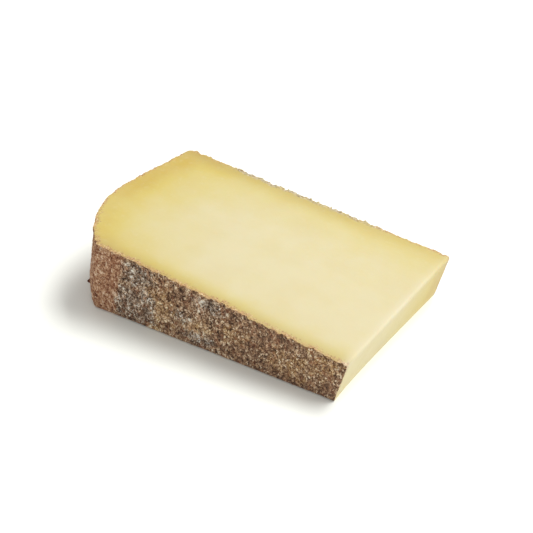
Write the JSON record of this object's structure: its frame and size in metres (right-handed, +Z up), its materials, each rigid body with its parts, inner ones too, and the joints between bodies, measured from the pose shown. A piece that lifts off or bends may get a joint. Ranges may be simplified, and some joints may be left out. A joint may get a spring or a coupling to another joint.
{
  "type": "cheese wedge",
  "caption": "Wedge cut from a wheel of hard mountain cheese, nose trimmed, lying on a cut face, with a rough brown rind on its sides and heel.",
  "frame": {"origin": "on the cut face that the piece rests on, in the middle of the rectangle that the piece covers", "axes": "+X from the rounded heel to the trimmed nose, +Y across the height of the wheel from the front rind face to the back one, +Z up"},
  "size_m": [0.1808, 0.11, 0.0462],
  "materials": {
    "cheese": "smooth pale yellow cut paste, with a rough brown, tan and grey natural rind on the two flat sides and the heel"
  },
  "bodies": {
    "root": {"cheese_wedge": "cheese"}
  },
  "joints": []
}
